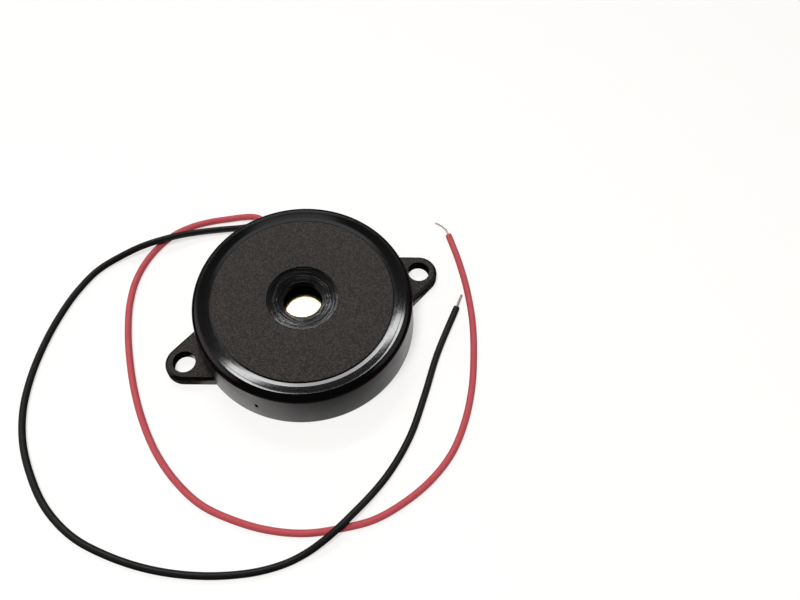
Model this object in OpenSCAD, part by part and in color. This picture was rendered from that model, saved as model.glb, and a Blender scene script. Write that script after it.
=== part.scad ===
// Flange-mount disc buzzer with two soldered leads.
// It lies on its back: the back face is at z = 0, the sound hole looks up (+Z),
// the ears point along X and the leads leave at +Y.

/* [Case] */
// Diameter of the case at its back face
case_d = 42; // [41:0.2:54]
// Height from the back face to the rim of the front
case_h = 9.7; // [9:0.1:14]
// Draft of the outer wall, in degrees
wall_draft = 3; // [1:0.5:4]
// Thickness of the outer wall at the shoulder that the cover seats on
wall_t = 1.6; // [1.2:0.1:2]
// Thickness of the front under the matt face
front_t = 1.5; // [1.2:0.1:1.8]
// Radius of the round at the outer front corner
corner_r = 1.9; // [0.8:0.1:2]
// Slope at which that round meets the rim, in degrees
rim_slope = 20; // [10:1:30]

/* [Front face] */
// Diameter of the matt face
face_d = 34.3; // [30:0.1:35]
// Depth of the matt face below the rim around it
face_sink = 0.2; // [0.1:0.05:0.3]
// Depth of the groove at the face's edge, below the face
groove_dip = 0.14; // [0.08:0.02:0.2]
// Width of the bevel that leads from the face into the groove
groove_bevel = 0.2; // [0.1:0.05:0.3]

/* [Sound hole] */
// Diameter of the sound hole
hole_d = 7.2; // [4:0.2:8]
// Diameter of the dish around the hole
dish_d = 13.3; // [11:0.1:18]
// Step at the dish's edge
dish_step = 0.3; // [0.1:0.05:0.4]
// Fall of the dish from its edge to the hole
dish_fall = 0.45; // [0:0.05:0.5]
// Wall of the boss behind the dish, outside the dish's edge
boss_wall = 0.95; // [0.8:0.05:1.5]
// How far the boss stands behind the front's inner face
boss_drop = 0.5; // [0.5:0.1:1]

/* [Ears] */
// Distance from the case's edge to the middle of a screw hole
ear_reach = 3.2; // [2.8:0.1:6]
// Thickness of the ears
ear_t = 2.4; // [1.6:0.1:3]
// Diameter of the screw holes
ear_hole_d = 4.2; // [3:0.1:4.6]
// Radius of the ear's tip
ear_tip_r = 3.6; // [3.4:0.1:4.5]
// Angle of the ear's sides to its own axis
ear_angle = 24.5; // [15:0.5:30]

/* [Rear cover] */
// Thickness of the cover's plate
cover_t = 1.3; // [1:0.1:1.6]
// Height of the shoulder that the cover's skirt seats on
shoulder_z = 2; // [1.8:0.1:2.6]
// Width of the case's rim around the cover, at the back face
rim_w = 1.1; // [0.9:0.01:1.4]
// Clearance around the cover
cover_gap = 0.1; // [0.05:0.05:0.2]
// Width of the cover's skirt
skirt_w = 1.5; // [1:0.1:2]
// Width of the rounded bevel at the cover's edge
bevel_w = 1.5; // [0.8:0.1:2]
// Depth of that bevel
bevel_h = 0.65; // [0.3:0.05:0.8]
// Side of the square recess in the cover
recess_side = 11.6; // [8:0.2:14]
// Depth of the recess
recess_depth = 0.3; // [0.1:0.05:0.5]
// Corner radius of the recess
recess_corner = 0.8; // [0.4:0.1:2]
// Turn of the recess, in degrees
recess_turn = 20; // [0:1:45]

/* [Sounding plate] */
// Diameter of the brass plate
plate_d = 35; // [33:0.5:35.6]
// Thickness of the brass plate
plate_t = 0.3; // [0.2:0.05:0.4]
// Depth of the plate's front side below the matt face
plate_depth = 3.6; // [3:0.1:4.4]
// Diameter of the ceramic disc
ceramic_d = 25; // [20:0.5:25]
// Thickness of the ceramic disc
ceramic_t = 0.25; // [0.15:0.05:0.35]
// Clearance between the plate's edge and the lip around it
plate_gap = 0.15; // [0.05:0.05:0.3]
// Width of the seat under the plate's edge
seat_w = 1.2; // [0.8:0.1:1.6]
// Width of the lip around the plate
lip_w = 0.65; // [0.5:0.05:0.9]
// How far the lip reaches behind the seat
lip_h = 0.7; // [0.5:0.05:1]

/* [Leads] */
// Outer diameter of a lead
lead_d = 1.3; // [1:0.1:1.4]
// Diameter of a lead's bare conductor
wire_d = 0.5; // [0.3:0.05:0.6]
// Width of the notch in the wall that the leads leave through
notch_w = 3; // [2.8:0.1:4]
// Height of the notch
notch_h = 4; // [3.8:0.1:4.4]
// Diameter of a solder joint
solder_d = 2.2; // [1.6:0.1:2.6]
// Height of a solder joint
solder_h = 0.9; // [0.7:0.05:1.1]

/* [Hidden] */
$fn = 128;

// Overrun of a cut past the face that it opens
over = 1;
// Steps along each rounded stretch of a turned outline
steps = 8;

// Radii, from the outside in
case_r = case_d / 2;
bore_r = case_r - rim_w;
cover_r = bore_r - cover_gap;
shoulder_r = case_r - shoulder_z * tan(wall_draft) - wall_t;
face_r = face_d / 2;
lip_in_r = plate_d / 2 + plate_gap;
lip_out_r = lip_in_r + lip_w;
seat_in_r = plate_d / 2 - seat_w;
dish_r = dish_d / 2;
boss_r = dish_r + boss_wall;
hole_r = hole_d / 2;
ear_x = case_r + ear_reach;

// Heights, from the front down
face_z = case_h - face_sink;
groove_z = face_z - groove_dip;
dish_z = face_z - dish_step;
hole_rim_z = dish_z - dish_fall;
inner_z = face_z - front_t;
boss_z = inner_z - boss_drop;
plate_z = face_z - plate_depth;
plate_back_z = plate_z - plate_t;
ceramic_back_z = plate_back_z - ceramic_t;

// Centre of the outer corner's round, tangent to the drafted wall, and the rim's radius
corner_z = case_h - corner_r * cos(rim_slope);
corner_x = case_r - (corner_z + corner_r * sin(wall_draft)) * tan(wall_draft)
         - corner_r * cos(wall_draft);
rim_r = corner_x + corner_r * sin(rim_slope);

// The glue fillet behind the plate's edge
glue_w = 0.6;
glue_h = 0.35;

// The gate mark on the wall: its bearing, height, diameter and depth
gate_angle = 224;
gate_z = 4;
gate_d = 0.6;
gate_depth = 0.3;

// Centre of the square recess
recess_x = -2.3;
recess_y = 5.8;

// The slot in the cover's skirt that the leads pass: its floor, and how much wider than the notch
slot_z = 0.9;
slot_extra = 0.4;
slot_in = 0.5;

// Sides of a lead's tube
lead_sides = 8;
// Length of bare conductor between a joint and the insulation
strip_red = 2.2;
strip_black = 2;
// Height of a lead that lies on the surface, and of one that passes over the other
lie = lead_d / 2;
hump = lead_d * 1.5 + 0.05;
// Height at which each lead's insulation starts, below the face that it is joined to
red_z = ceramic_back_z - 1.15;
black_z = plate_back_z - 1.3;

// Route of the red lead, from its joint on the ceramic disc to its free end
red_route = [
    [1.5, 13, red_z], [1.1, 15.2, red_z - 0.9], [0.6, 18.2, 2], [0.5, 20, 1.6], [0.4, 21.8, 1.5],
    [0.4, 23.5, 1.4], [0.2, 24.7, 1.2], [-0.4, 25.7, 1.1], [-1.3, 26.4, 1], [-3, 27.2, 0.8],
    [-6, 28.1, lie], [-10, 29, lie], [-14, 29.3, lie], [-17.5, 28.8, lie], [-20.5, 27.6, lie],
    [-24, 25.3, lie], [-27.5, 21.6, lie], [-30, 17.2, lie], [-32, 11.6, lie], [-33.5, 5.3, lie],
    [-34.5, -1.4, lie], [-34.8, -7.8, lie], [-34.3, -14.5, lie], [-32.7, -20.8, lie],
    [-30, -26.5, lie], [-26, -31.1, lie], [-21, -35.3, lie], [-15, -38.6, lie],
    [-9.5, -40.2, lie], [-3.5, -41.2, lie], [2.5, -40.6, lie], [8.5, -38.9, lie],
    [14, -36, lie], [19, -31.4, lie], [23, -26.2, lie], [26.5, -20.1, lie], [29.5, -13.6, lie],
    [31.7, -6.8, lie], [33.2, 0.2, lie], [34, 6.3, lie]
];
// Route of the black lead, from its joint on the brass plate to its free end
black_route = [
    [-1.8, 16.5, black_z], [-1, 18, black_z - 1], [-0.6, 19.2, 2.8], [-0.5, 20.4, 2.6],
    [-0.7, 21.6, 2.5], [-1.3, 22.6, 2.3], [-2.3, 23.4, 2.1], [-4.5, 24.4, 1.6],
    [-9, 26.2, 1.1], [-13.5, 27.3, 1.3], [-17, 27.6, 1.9], [-20.5, 27.9, hump],
    [-24, 28.1, 1.8], [-28.5, 28, 1.1], [-33, 27.2, lie], [-38.5, 24, lie], [-43.5, 19.5, lie],
    [-48, 14.2, lie], [-51.5, 8.9, lie], [-54, 3.6, lie], [-55.5, -2.5, lie], [-55.7, -9, lie],
    [-54.7, -16, lie], [-51.8, -22.7, lie], [-47, -28.5, lie], [-41.5, -33.3, lie],
    [-35.5, -37.1, lie], [-29.5, -39.8, lie], [-24, -41.4, lie], [-19.5, -41.9, lie],
    [-16, -41.7, 0.9], [-12.5, -41.1, 1.7], [-9.5, -40.2, hump], [-6.5, -39, 1.8],
    [-2.5, -37.2, 1.1], [2, -34.8, lie], [8.5, -30, lie], [14, -24.2, lie], [20, -17.3, lie],
    [28.1, -9.5, lie]
];
// Bend of each bare free end, as offsets from the end of its insulation
red_end_bend = [[0.1, 1.2, -0.05], [-0.3, 2.7, -0.2], [-1.1, 4, -0.3]];
black_end_bend = [[1.1, 1.15, -0.1], [2.2, 2.2, -0.3]];

// Unit vector along v
function unit(v) = v / norm(v);

// Points on a circle about (x, y), from angle a to angle b, in n steps
function arc(x, y, r, a, b, n = steps) =
    [for (i = [0:n]) let (t = a + (b - a) * i / n) [x + r * cos(t), y + r * sin(t)]];

// Points of a curve from (r0, z0) to (r1, z1) whose height changes with the given power
function power_curve(r0, z0, r1, z1, power) =
    [for (i = [0:steps]) let (t = i / steps) [r0 + (r1 - r0) * t, z0 + (z1 - z0) * pow(t, power)]];

// The same points from last to first
function backwards(p) = [for (i = [len(p) - 1:-1:0]) p[i]];

// Direction of a route at its point i
function heading(p, i) =
    i == 0 ? unit(p[1] - p[0])
    : i == len(p) - 1 ? unit(p[i] - p[i - 1])
    : unit(unit(p[i + 1] - p[i]) + unit(p[i] - p[i - 1]));

// Ring of points about c, square to the direction t
function ring(c, t, r) =
    let (side = unit(cross(t, [0, 0, 1])), up = cross(side, t))
    [for (k = [0:lead_sides - 1])
        let (a = 360 * k / lead_sides) c + r * (cos(a) * side + sin(a) * up)];

// Round tube along a route: one closed solid, with flat ends
module tube(p, d) {
    n = lead_sides;
    last = len(p) - 1;
    polyhedron(
        points = [for (i = [0:last]) each ring(p[i], heading(p, i), d / 2)],
        faces = concat(
            [[for (k = [0:n - 1]) k]],
            [[for (k = [n - 1:-1:0]) last * n + k]],
            [for (i = [0:last - 1]) for (k = [0:n - 1])
                [i * n + k, (i + 1) * n + k, i * n + (k + 1) % n]],
            [for (i = [0:last - 1]) for (k = [0:n - 1])
                [i * n + (k + 1) % n, (i + 1) * n + k, (i + 1) * n + (k + 1) % n]]
        )
    );
}

// Straight round rod from p, of length l along v
module rod(p, v, l, d) {
    u = unit(v);
    translate(p)
        rotate([0, acos(u[2]), atan2(u[1], u[0])])
            cylinder(d = d, h = l, $fn = 32);
}

// Outside of the case as one turned solid
module case_outside() {
    rotate_extrude()
        polygon(concat(
            [[0, 0], [case_r, 0]],
            arc(corner_x, corner_z, corner_r, wall_draft, 90 - rim_slope),
            backwards([for (p = power_curve(face_r, groove_z, rim_r, case_h, 1.25)) if (p[1] < case_h) p]),
            [
                [face_r - groove_bevel, face_z], [dish_r, face_z], [dish_r, dish_z],
                [hole_r, hole_rim_z], [0, hole_rim_z]
            ]
        ));
}

// Everything that is hollow in the case: bore, chamber around the plate's seat, and sound hole
module case_inside() {
    rotate_extrude()
        polygon([
            [0, -over], [bore_r, -over], [bore_r, shoulder_z],
            [shoulder_r, shoulder_z], [shoulder_r, inner_z], [lip_out_r, inner_z],
            [lip_out_r, plate_z - lip_h], [lip_in_r, plate_z - lip_h], [lip_in_r, plate_z],
            [seat_in_r, plate_z], [seat_in_r, inner_z], [boss_r, inner_z], [boss_r, boss_z],
            [hole_r, boss_z], [hole_r, case_h + over], [0, case_h + over]
        ]);
}

// One ear, on the side that +X points to
module ear() {
    // Bearing at which the round of the tip runs into the straight sides
    turn = 90 - ear_angle;
    tip_x = ear_x + ear_tip_r * cos(turn);
    root_x = bore_r - wall_t;
    root_y = ear_tip_r * sin(turn) + (tip_x - root_x) * tan(ear_angle);
    linear_extrude(ear_t)
        polygon(concat(
            arc(ear_x, 0, ear_tip_r, -turn, turn, 3 * steps),
            [[root_x, root_y], [root_x, -root_y]]
        ));
}

// Notch in the wall at +Y, with a round top, open at the back
module lead_notch() {
    translate([0, case_r + over, 0])
        rotate([90, 0, 0])
            linear_extrude(case_r + over - lip_out_r - cover_gap) {
                translate([-notch_w / 2, -over])
                    square([notch_w, notch_h - notch_w / 2 + over]);
                translate([0, notch_h - notch_w / 2])
                    circle(d = notch_w);
            }
}

module front_case() {
    color([0.07, 0.07, 0.07])
        difference() {
            union() {
                case_outside();
                for (turn = [0, 180])
                    rotate(turn)
                        ear();
            }
            case_inside();
            lead_notch();
            for (side = [-1, 1])
                translate([side * ear_x, 0, -over])
                    cylinder(d = ear_hole_d, h = ear_t + 2 * over);
            rotate(gate_angle)
                translate([case_r - gate_z * tan(wall_draft) - gate_depth, 0, gate_z])
                    rotate([0, 90, 0])
                        cylinder(d = gate_d, h = gate_depth + over, $fn = 32);
        }
}

// Outline of the square recess, with round corners
module recess_outline() {
    inset = recess_side / 2 - recess_corner;
    square([recess_side, 2 * inset], center = true);
    square([2 * inset, recess_side], center = true);
    for (x = [-inset, inset])
        for (y = [-inset, inset])
            translate([x, y])
                circle(r = recess_corner);
}

module rear_cover() {
    color([0.09, 0.09, 0.09])
        difference() {
            rotate_extrude()
                polygon(concat(
                    [[0, 0]],
                    power_curve(cover_r - cover_gap - bevel_w, 0, cover_r - cover_gap, bevel_h, 2),
                    [
                        [cover_r, bevel_h], [cover_r, shoulder_z], [cover_r - skirt_w, shoulder_z],
                        [cover_r - skirt_w, cover_t], [0, cover_t]
                    ]
                ));
            translate([recess_x, recess_y, -over])
                rotate(recess_turn)
                    linear_extrude(over + recess_depth)
                        recess_outline();
            translate([-(notch_w + slot_extra) / 2, cover_r - skirt_w - slot_in, slot_z])
                cube([notch_w + slot_extra, skirt_w + slot_in + over, shoulder_z]);
        }
}

module brass_plate() {
    color([0.8, 0.62, 0.28])
        translate([0, 0, plate_back_z])
            cylinder(d = plate_d, h = plate_t);
}

module ceramic_disc() {
    color([0.75, 0.75, 0.72])
        translate([0, 0, ceramic_back_z])
            cylinder(d = ceramic_d, h = ceramic_t);
}

module plate_adhesive() {
    color([0.85, 0.84, 0.78])
        rotate_extrude()
            polygon([
                [plate_d / 2 - glue_w, plate_back_z], [lip_in_r, plate_back_z],
                [lip_in_r, plate_back_z - glue_h]
            ]);
}

// Domed solder joint that hangs behind a face at height z, with its conductor's bed in it
module solder_joint(route, strip, z) {
    away = route[0] - route[1];
    foot = route[0] + strip * unit(away);
    color([0.72, 0.73, 0.74])
        difference() {
            translate([foot[0], foot[1], z])
                rotate_extrude($fn = 48)
                    polygon(concat(
                        [[0, 0], [solder_d / 2, 0]],
                        [for (i = [1:steps]) let (t = 90 * i / steps)
                            [solder_d / 2 * cos(t), -solder_h * sin(t)]]
                    ));
            rod(foot, -away, strip, wire_d);
        }
}

// Bare conductor from its joint to the start of the insulation
module inner_conductor(route, strip) {
    away = route[0] - route[1];
    color([0.78, 0.77, 0.75])
        rod(route[0] + strip * unit(away), -away, strip, wire_d);
}

// Bare conductor past the end of the insulation, straight on at first
module end_conductor(route, bend) {
    tip = route[len(route) - 1];
    ahead = heading(route, len(route) - 1);
    color([0.78, 0.77, 0.75])
        tube(concat([tip, tip + wire_d * ahead], [for (b = bend) tip + b]), wire_d);
}

module solder_red() {
    solder_joint(red_route, strip_red, ceramic_back_z);
}

module solder_black() {
    solder_joint(black_route, strip_black, plate_back_z);
}

module conductor_red_inner() {
    inner_conductor(red_route, strip_red);
}

module conductor_black_inner() {
    inner_conductor(black_route, strip_black);
}

module lead_red() {
    color([0.72, 0.16, 0.2])
        tube(red_route, lead_d);
}

module lead_black() {
    color([0.06, 0.06, 0.06])
        tube(black_route, lead_d);
}

module conductor_red_end() {
    end_conductor(red_route, red_end_bend);
}

module conductor_black_end() {
    end_conductor(black_route, black_end_bend);
}

front_case();
rear_cover();
brass_plate();
ceramic_disc();
plate_adhesive();
solder_red();
solder_black();
conductor_red_inner();
conductor_black_inner();
lead_red();
lead_black();
conductor_red_end();
conductor_black_end();
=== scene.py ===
# %% [markdown]
# # A disc buzzer with two leads
#
# The object is a flat round sounder, 42 mm across, of the kind that is screwed to a panel.
# Its shell is moulded in black ABS. A brass plate with a disc of piezo ceramic sits behind
# the sound hole, and a snap-in cover closes the back. A red and a black lead are soldered to
# the ceramic and to the brass, and leave through a notch in the wall.
#
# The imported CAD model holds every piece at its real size, in metres. This script keeps it as
# a fixed frame, stands finer pieces in for the ones that show, and gives each surface the
# finish that its maker gave it.

# %% Load the frame
import math

import bmesh
import bpy
from mathutils import Matrix, Vector


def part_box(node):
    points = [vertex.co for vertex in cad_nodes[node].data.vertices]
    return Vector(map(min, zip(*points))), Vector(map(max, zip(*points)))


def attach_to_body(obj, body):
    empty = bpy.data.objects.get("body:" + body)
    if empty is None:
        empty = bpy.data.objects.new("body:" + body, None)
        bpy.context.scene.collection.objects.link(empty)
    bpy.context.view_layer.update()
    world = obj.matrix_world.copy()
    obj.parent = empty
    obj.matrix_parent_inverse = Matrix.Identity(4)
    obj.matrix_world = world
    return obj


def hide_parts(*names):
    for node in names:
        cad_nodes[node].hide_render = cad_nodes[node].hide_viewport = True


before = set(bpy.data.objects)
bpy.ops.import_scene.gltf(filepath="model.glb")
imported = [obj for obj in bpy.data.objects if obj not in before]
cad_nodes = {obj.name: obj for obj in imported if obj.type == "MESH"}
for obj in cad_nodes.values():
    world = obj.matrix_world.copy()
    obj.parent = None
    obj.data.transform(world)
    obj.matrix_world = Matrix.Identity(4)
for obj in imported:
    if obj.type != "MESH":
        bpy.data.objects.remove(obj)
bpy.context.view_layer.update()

scene = bpy.context.scene
mm = 0.001

# %% [markdown]
# ## Sizes
#
# What the frame can tell is read from it: the case's radius and height, the cover, the brass
# plate and the ears' reach. The rest are small sizes of the moulding, which a drawing of the
# part would give. All of them are in millimetres here, because that is how a mould maker
# reads them, and they become metres when a mesh is made.

# %% Read the main sizes
def size_of(node):
    """Lowest and highest corner of a CAD node, in millimetres."""
    return [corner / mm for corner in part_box(node)]


case_low, case_high = size_of("front_case")
cover_high = size_of("rear_cover")[1]
plate_high = size_of("brass_plate")[1]

case_r = -case_low.y
case_h = case_high.z
ear_end = case_high.x
cover_r = cover_high.y
shoulder_z = cover_high.z
plate_r = plate_high.x
plate_z = plate_high.z
bore_r = cover_r + 0.1
face_r = 17.15
face_z = case_h - 0.2
groove_z = face_z - 0.14
flat_r = face_r - 0.22
dish_r = 6.65
hole_r = 3.6
draft = math.radians(3)
print(f"case {2 * case_r:.1f} by {case_h:.1f} mm, cover {2 * cover_r:.1f} mm, plate {2 * plate_r:.1f} mm")

# %% [markdown]
# ## The camera
#
# It looks down on the buzzer from the front left, about 17 cm away, as a person does who
# bends over a table to look at a small part. The lens is a little longer than normal, so the
# round case keeps its shape. It is made first, because the leads have to lie in its view.

# %% Set up the camera
camera_spot = Vector((-18.58, -77.44, 152.94)) * mm
camera_aim = Vector((18.73, -3.19, 0)) * mm
camera_roll = math.radians(2.507)

lens = bpy.data.cameras.new("camera")
lens.lens = 39.53
lens.sensor_width = 36
lens.clip_start = 0.01
lens.clip_end = 10
camera = bpy.data.objects.new("camera", lens)
look = (camera_aim - camera_spot).to_track_quat("-Z", "Y").to_matrix()
roll = Matrix.Rotation(camera_roll, 3, "Z")
camera.matrix_world = Matrix.Translation(camera_spot) @ (look @ roll).to_4x4()
scene.collection.objects.link(camera)
scene.camera = camera
print("camera right axis:", [round(c, 4) for c in camera.matrix_world.col[0][:3]])

# %% [markdown]
# ## Helpers for colours and nodes
#
# A maker gives a colour as a hex code, but a shader works in linear light, so one function
# turns the one into the other. A second one adds a node with its settings and links, for
# shaders and for geometry alike. It keeps every tree below short enough to read.

# %% Colour and node helpers
def linear(code):
    """Turns an sRGB hex code into linear red, green, blue and alpha."""
    parts = [int(code[i:i + 2], 16) / 255 for i in (1, 3, 5)]
    return [c / 12.92 if c <= 0.04045 else ((c + 0.055) / 1.055) ** 2.4 for c in parts] + [1]


def add(tree, kind, settings=None, **inputs):
    """Adds a node. An input is a value or another node's output; _0 and _1 name it by number."""
    node = tree.nodes.new(kind)
    for name, value in (settings or {}).items():
        setattr(node, name, value)
    for name, value in inputs.items():
        key = int(name[1:]) if name[0] == "_" else name.replace("_", " ")
        if isinstance(value, bpy.types.NodeSocket):
            tree.links.new(value, node.inputs[key])
        else:
            node.inputs[key].default_value = value
    return node


def math_node(tree, operation, *values):
    """Output of a Math node."""
    inputs = {f"_{i}": value for i, value in enumerate(values)}
    return add(tree, "ShaderNodeMath", {"operation": operation}, **inputs).outputs[0]


def chain(tree, operation, first, *others):
    """Applies one Math operation to several values, one after another."""
    for other in others:
        first = math_node(tree, operation, first, other)
    return first


# %% [markdown]
# ## How a finish is built
#
# Each finish is one Principled shader. Its fixed numbers go straight on the shader's own
# sockets. What varies over the surface comes from noise in the piece's own coordinates,
# turned into millimetres first, so that a scale of 5 means five grains to the millimetre.

# %% Start a material
def start_finish(name, **values):
    """Makes a material with one Principled shader. Returns the material, its tree and the shader."""
    material = bpy.data.materials.new(name)
    material.use_nodes = True
    tree = material.node_tree
    shader = tree.nodes["Principled BSDF"]
    for socket, value in values.items():
        shader.inputs[socket.replace("_", " ")].default_value = value
    return material, tree, shader


def millimetres(tree):
    """The piece's own coordinates, in millimetres."""
    place = add(tree, "ShaderNodeTexCoord").outputs["Object"]
    return add(tree, "ShaderNodeMapping", Vector=place, Scale=(1 / mm,) * 3).outputs[0]


def noise(tree, where, per_mm, detail=2.0, roughness=0.5):
    """Noise from 0 to 1, with so many grains to the millimetre."""
    return add(tree, "ShaderNodeTexNoise", Vector=where, Scale=per_mm, Detail=detail,
               Roughness=roughness).outputs["Fac"]


def vary(tree, field, low, high, start=0.3, stop=0.7):
    """Spreads a field over the range from low to high."""
    return add(tree, "ShaderNodeMapRange", Value=field, From_Min=start, From_Max=stop,
               To_Min=low, To_Max=high).outputs[0]


def blend_colours(tree, field, first, second):
    """Mixes two hex colours by a field."""
    mix = add(tree, "ShaderNodeMix", {"data_type": "RGBA"}, _0=field)
    mix.inputs[6].default_value = linear(first)
    mix.inputs[7].default_value = linear(second)
    return mix.outputs[2]


def bump(tree, height, depth_mm, below=None):
    """Bump whose full height is depth_mm, on top of another bump if there is one."""
    node = add(tree, "ShaderNodeBump", Height=height, Strength=1.0, Distance=depth_mm * mm)
    if below is not None:
        tree.links.new(below, node.inputs["Normal"])
    return node.outputs[0]


# %% [markdown]
# ## Black ABS, four ways
#
# The case is one shot of black ABS. What the eye takes for four blacks are four finishes of
# the steel mould. The front face and the ears were spark-eroded, which leaves pits of about a
# third of a millimetre and a soft, brownish charcoal with paler specks. The ring, the outer
# round and the soft edges of the ears were polished, so they mirror the room and look
# darkest. The dish round the hole was polished by hand and keeps swirls. The wall was only
# stoned, to a satin. Roughness and bump do most of the work.

# %% ABS finishes
ABS_IOR = 1.54


def spark_eroded_abs():
    """ABS from a spark-eroded mould face: matt, with pale specks and pits of about 0.3 mm."""
    material, tree, shader = start_finish("abs_spark_eroded", IOR=ABS_IOR)
    where = millimetres(tree)
    pits = noise(tree, where, 3.4, detail=2.5)
    fine = noise(tree, where, 9.0, detail=1.0)
    speckle = vary(tree, pits, 0, 1, start=0.42, stop=0.64)
    tree.links.new(blend_colours(tree, speckle, "#12100F", "#48413B"), shader.inputs["Base Color"])
    tree.links.new(vary(tree, pits, 0.46, 0.62), shader.inputs["Roughness"])
    coarse = bump(tree, pits, 0.11)
    tree.links.new(bump(tree, fine, 0.02, coarse), shader.inputs["Normal"])
    return material


def polished_abs():
    """ABS from a polished mould face: a dark mirror with the faint ripple of the polishing."""
    material, tree, shader = start_finish("abs_polished", IOR=ABS_IOR)
    shader.inputs["Base Color"].default_value = linear("#080708")
    where = millimetres(tree)
    ripple = noise(tree, where, 0.9)
    smear = noise(tree, where, 2.5, detail=4.0)
    tree.links.new(vary(tree, smear, 0.05, 0.1), shader.inputs["Roughness"])
    tree.links.new(bump(tree, ripple, 0.002), shader.inputs["Normal"])
    return material


def swirled_abs():
    """ABS from a hand-polished dish: a mirror crossed by swirls that spiral out of the hole."""
    material, tree, shader = start_finish("abs_swirled", IOR=ABS_IOR)
    shader.inputs["Base Color"].default_value = linear("#0A090A")
    where = millimetres(tree)
    radius = add(tree, "ShaderNodeVectorMath", {"operation": "LENGTH"}, _0=where).outputs["Value"]
    bearing = add(tree, "ShaderNodeVectorMath", {"operation": "NORMALIZE"}, _0=where).outputs[0]
    turn = math_node(tree, "MULTIPLY", radius, 0.5)
    twisted = add(tree, "ShaderNodeVectorRotate", {"rotation_type": "Z_AXIS"}, Vector=bearing, Angle=turn)
    wander = math_node(tree, "MULTIPLY_ADD", noise(tree, where, 0.4), 0.6, radius)
    outward = add(tree, "ShaderNodeCombineXYZ", Z=math_node(tree, "MULTIPLY", wander, 4.0))
    swirl_place = add(tree, "ShaderNodeVectorMath", {"operation": "MULTIPLY_ADD"}, _0=twisted.outputs[0],
                      _1=(0.6, 0.6, 0), _2=outward.outputs[0])
    swirls = noise(tree, swirl_place.outputs[0], 1.0, detail=3.0)
    tree.links.new(vary(tree, swirls, 0.13, 0.24), shader.inputs["Roughness"])
    tree.links.new(bump(tree, swirls, 0.08), shader.inputs["Normal"])
    return material


def satin_abs():
    """ABS from a stoned mould wall: satin, with a fine grain and a slight cloudiness."""
    material, tree, shader = start_finish("abs_satin", IOR=ABS_IOR)
    where = millimetres(tree)
    grain = noise(tree, where, 8.0, detail=2.0)
    cloud = noise(tree, where, 0.25)
    tree.links.new(blend_colours(tree, cloud, "#151110", "#1B1615"), shader.inputs["Base Color"])
    tree.links.new(vary(tree, cloud, 0.28, 0.36), shader.inputs["Roughness"])
    tree.links.new(bump(tree, grain, 0.005), shader.inputs["Normal"])
    return material


SPARK, POLISH, SWIRL, SATIN = spark_eroded_abs(), polished_abs(), swirled_abs(), satin_abs()
print("ABS finishes:", [m.name for m in (SPARK, POLISH, SWIRL, SATIN)])

# %% [markdown]
# ## PVC on the leads
#
# Hook-up wire is copper strand with soft PVC pressed round it through a die. The die leaves
# a satin skin with drag lines that run along the wire, so the pattern has to follow the wire
# wherever it goes. The tube below carries two attributes for that: how far along a point is,
# in millimetres, and which way round it faces.

# %% PVC finishes
def drawn_pvc(name, first, second, rough_low, rough_high):
    """PVC insulation with drag lines along the wire and a slight mottle."""
    material, tree, shader = start_finish(name, IOR=1.53)
    along = add(tree, "ShaderNodeAttribute", {"attribute_name": "along_mm"}).outputs["Fac"]
    around = add(tree, "ShaderNodeAttribute", {"attribute_name": "around"}).outputs["Vector"]
    drag_place = add(tree, "ShaderNodeVectorMath", {"operation": "MULTIPLY_ADD"}, _0=around, _1=(4, 4, 4),
                     _2=add(tree, "ShaderNodeCombineXYZ",
                            Z=math_node(tree, "MULTIPLY", along, 0.15)).outputs[0])
    drag = noise(tree, drag_place.outputs[0], 1.0, detail=3.0)
    mottle_place = add(tree, "ShaderNodeVectorMath", {"operation": "ADD"}, _0=around,
                       _1=add(tree, "ShaderNodeCombineXYZ", Z=along).outputs[0])
    mottle = noise(tree, mottle_place.outputs[0], 0.7)
    tree.links.new(blend_colours(tree, mottle, first, second), shader.inputs["Base Color"])
    tree.links.new(vary(tree, mottle, rough_low, rough_high), shader.inputs["Roughness"])
    tree.links.new(bump(tree, drag, 0.012), shader.inputs["Normal"])
    return material


RED_PVC = drawn_pvc("pvc_red", "#D95F66", "#CC5259", 0.46, 0.56)
BLACK_PVC = drawn_pvc("pvc_black", "#131213", "#1A1818", 0.44, 0.54)
print("lead finishes:", RED_PVC.name, BLACK_PVC.name)

# %% [markdown]
# ## Metals, ceramic and glue
#
# The sounding plate is rolled brass, bright and nearly flat, with fine roll lines. The
# ceramic carries a fired silver layer, which is pale and satin. Solder has frozen in soft
# domes, the strands are tinned copper, and the plate is held by a bead of pale silicone.

# %% Metal, ceramic and glue finishes
def rolled_brass():
    """Bright rolled brass, with roll lines along X and a little tarnish."""
    material, tree, shader = start_finish("brass_rolled", Metallic=1.0)
    where = millimetres(tree)
    lines = add(tree, "ShaderNodeMapping", Vector=where, Scale=(0.12, 6, 6)).outputs[0]
    roll_lines = noise(tree, lines, 1.0, detail=3.0)
    tarnish = noise(tree, where, 0.4)
    tree.links.new(blend_colours(tree, tarnish, "#F4E6C4", "#EAD4A0"), shader.inputs["Base Color"])
    tree.links.new(vary(tree, roll_lines, 0.12, 0.2), shader.inputs["Roughness"])
    tree.links.new(bump(tree, roll_lines, 0.0006), shader.inputs["Normal"])
    return material


def uneven_skin(name, colours, roughness, per_mm, depth_mm, detail=2.0, **values):
    """A finish whose colour, roughness and bump all follow one noise."""
    material, tree, shader = start_finish(name, **values)
    skin = noise(tree, millimetres(tree), per_mm, detail=detail)
    tree.links.new(blend_colours(tree, skin, *colours), shader.inputs["Base Color"])
    tree.links.new(vary(tree, skin, *roughness), shader.inputs["Roughness"])
    tree.links.new(bump(tree, skin, depth_mm), shader.inputs["Normal"])
    return material


BRASS = rolled_brass()
# Silver paste, screen-printed and fired
SILVER = uneven_skin("silver_fired", ("#D2D0CA", "#C2BFB8"), (0.42, 0.55), 5.0, 0.004, detail=3.0,
                     Metallic=0.85)
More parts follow.
